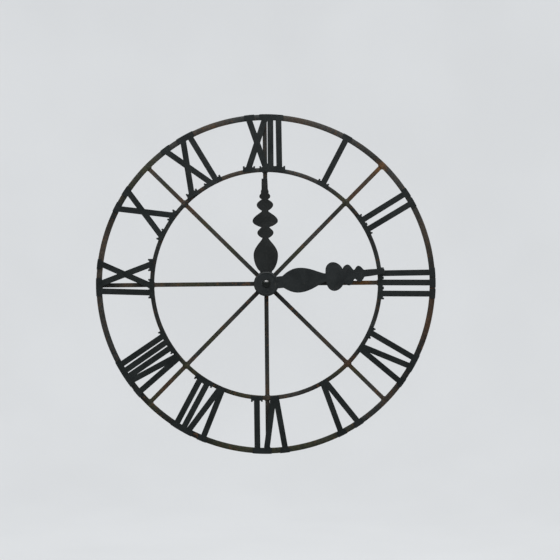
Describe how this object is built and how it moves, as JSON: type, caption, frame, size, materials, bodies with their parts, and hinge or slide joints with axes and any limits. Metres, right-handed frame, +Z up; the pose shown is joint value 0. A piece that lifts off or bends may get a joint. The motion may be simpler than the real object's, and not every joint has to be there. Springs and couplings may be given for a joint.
{
  "type": "wall clock",
  "caption": "Large skeleton wall clock: open iron dial of two rings joined by spokes, cut-out Roman numerals, long spade hands and a battery quartz movement behind the hub.",
  "frame": {"origin": "centre of the hanging hole, on the wall plane", "axes": "+Z up, +Y into the wall, +X to the right of a person who reads the dial"},
  "size_m": [1.152, 0.0527, 1.152],
  "materials": {
    "weathered_iron": "satin",
    "numeral_iron": "satin",
    "hand_sheet": "satin",
    "dark_steel": "satin",
    "brass": "satin",
    "rubber": "matte",
    "black_plastic": "matte",
    "wheel_plastic": "satin",
    "steel": "satin",
    "core_iron": "satin",
    "copper_wire": "gloss",
    "board": "satin",
    "cell_jacket": "gloss"
  },
  "bodies": {
    "frame": {"outer_ring": "weathered_iron", "inner_ring": "weathered_iron", "spoke_1": "weathered_iron", "spoke_2": "weathered_iron", "spoke_3": "weathered_iron", "spoke_4": "weathered_iron", "spoke_5": "weathered_iron", "spoke_6": "weathered_iron", "spoke_7": "weathered_iron", "spoke_8": "weathered_iron", "numeral_1": "numeral_iron", "numeral_2": "numeral_iron", "numeral_3": "numeral_iron", "numeral_4": "numeral_iron", "numeral_5": "numeral_iron", "numeral_6": "numeral_iron", "numeral_7": "numeral_iron", "numeral_8": "numeral_iron", "numeral_9": "numeral_iron", "numeral_10": "numeral_iron", "numeral_11": "numeral_iron", "numeral_12": "numeral_iron", "hub_plate": "weathered_iron", "hanger_bracket": "weathered_iron", "wall_spacers": "weathered_iron", "spacer_pads": "rubber", "case_front": "black_plastic", "case_back": "black_plastic", "mounting_bushing": "brass", "mounting_nut": "brass", "mounting_washer": "brass", "gasket": "rubber", "train_bridge": "black_plastic", "stator": "core_iron", "coil_bobbin": "wheel_plastic", "coil_winding": "copper_wire", "circuit_board": "board", "control_chip": "black_plastic", "quartz_crystal": "steel", "positive_contact": "steel", "negative_contact": "steel"},
    "minute_work": {"minute_arbor": "steel", "centre_wheel": "wheel_plastic", "minute_hand": "hand_sheet", "minute_bush": "brass", "minute_collar": "dark_steel", "cap_nut": "dark_steel"},
    "hour_work": {"hour_wheel": "wheel_plastic", "hour_hand": "hand_sheet", "hour_bush": "brass"},
    "motion_work": {"motion_wheel": "wheel_plastic"},
    "third_train": {"third_wheel": "wheel_plastic"},
    "fourth_train": {"fourth_wheel": "wheel_plastic"},
    "fifth_train": {"fifth_wheel": "wheel_plastic"},
    "rotor_train": {"rotor": "steel"},
    "knob": {"setting_knob": "black_plastic"},
    "cell": {"battery": "cell_jacket"}
  },
  "joints": [
    {"name": "minute_turn", "type": "hinge", "parent": "frame", "child": "minute_work", "pos_m": [0, -0.02, -0.525], "axis": [0, 1, 0], "continuous": true},
    {"name": "hour_turn", "type": "hinge", "parent": "frame", "child": "hour_work", "pos_m": [0, -0.02, -0.525], "axis": [0, 1, 0], "continuous": true},
    {"name": "motion_turn", "type": "hinge", "parent": "frame", "child": "motion_work", "pos_m": [-0.01061, -0.02, -0.51439], "axis": [0, 1, 0], "continuous": true},
    {"name": "knob_turn", "type": "hinge", "parent": "frame", "child": "knob", "pos_m": [-0.01574, -0.02, -0.52849], "axis": [0, 1, 0], "continuous": true},
    {"name": "third_turn", "type": "hinge", "parent": "frame", "child": "third_train", "pos_m": [0.00764, -0.02, -0.51736], "axis": [0, 1, 0], "continuous": true},
    {"name": "fourth_turn", "type": "hinge", "parent": "frame", "child": "fourth_train", "pos_m": [0.01722, -0.02, -0.51387], "axis": [0, 1, 0], "continuous": true},
    {"name": "fifth_turn", "type": "hinge", "parent": "frame", "child": "fifth_train", "pos_m": [0.01302, -0.02, -0.5066], "axis": [0, 1, 0], "continuous": true},
    {"name": "rotor_turn", "type": "hinge", "parent": "frame", "child": "rotor_train", "pos_m": [0.01979, -0.02, -0.50414], "axis": [0, 1, 0], "continuous": true},
    {"name": "cell_slide", "type": "slide", "parent": "frame", "child": "cell", "axis": [0, 1, 0], "range_m": [0, 0.02]}
  ],
  "couplings": [
    {"joint": "hour_turn", "follows": "minute_turn", "ratio": 0.083333},
    {"joint": "motion_turn", "follows": "minute_turn", "ratio": -0.33333},
    {"joint": "knob_turn", "follows": "minute_turn", "ratio": 1},
    {"joint": "third_turn", "follows": "minute_turn", "ratio": -8},
    {"joint": "fourth_turn", "follows": "minute_turn", "ratio": 60},
    {"joint": "fifth_turn", "follows": "minute_turn", "ratio": -360},
    {"joint": "rotor_turn", "follows": "minute_turn", "ratio": 1800}
  ]
}
